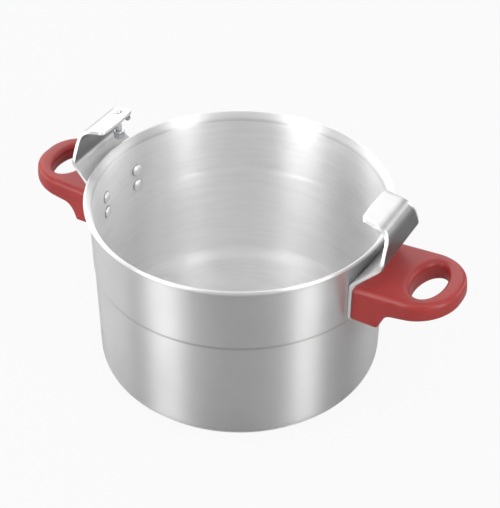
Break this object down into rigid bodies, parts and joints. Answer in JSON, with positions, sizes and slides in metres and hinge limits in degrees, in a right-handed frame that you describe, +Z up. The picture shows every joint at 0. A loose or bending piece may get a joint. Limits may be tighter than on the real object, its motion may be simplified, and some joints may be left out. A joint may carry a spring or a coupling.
{
  "type": "pressure cooker",
  "caption": "Open aluminium pressure cooker pot with riveted steel lid hooks, a drop lock pin on one hook and red loop side handles.",
  "frame": {"origin": "centre of the pot's flat underside, on the surface it stands on", "axes": "+Z up along the pot's axis, +X towards the plain hook's handle, so the handles lie along X and the lock pin's hook is on -X"},
  "size_m": [0.388, 0.25, 0.1896],
  "materials": {
    "pot_aluminium": "satin turned, polished lip",
    "hook_steel": "polished",
    "handle_red": "satin phenolic moulding",
    "rivet_aluminium": "polished domed heads",
    "zinc_steel": "bright zinc",
    "insert_brass": "turned"
  },
  "bodies": {
    "cooker": {"pot": "pot_aluminium", "hook_right": "hook_steel", "hook_left": "hook_steel", "handle_right": "handle_red", "handle_left": "handle_red", "rivet_right_upper_a": "rivet_aluminium", "rivet_right_upper_b": "rivet_aluminium", "rivet_right_lower_a": "rivet_aluminium", "rivet_right_lower_b": "rivet_aluminium", "rivet_left_upper_a": "rivet_aluminium", "rivet_left_upper_b": "rivet_aluminium", "rivet_left_lower_a": "rivet_aluminium", "rivet_left_lower_b": "rivet_aluminium", "screw_right_a": "zinc_steel", "screw_right_b": "zinc_steel", "screw_left_a": "zinc_steel", "screw_left_b": "zinc_steel", "insert_right_a": "insert_brass", "insert_right_b": "insert_brass", "insert_left_a": "insert_brass", "insert_left_b": "insert_brass"},
    "lock": {"lock_pin": "hook_steel", "lock_nut": "zinc_steel", "lock_washer": "zinc_steel"}
  },
  "joints": [
    {"name": "lock_pin_lift", "type": "slide", "parent": "cooker", "child": "lock", "axis": [0, 0, 1], "range_m": [0, 0.014]}
  ]
}
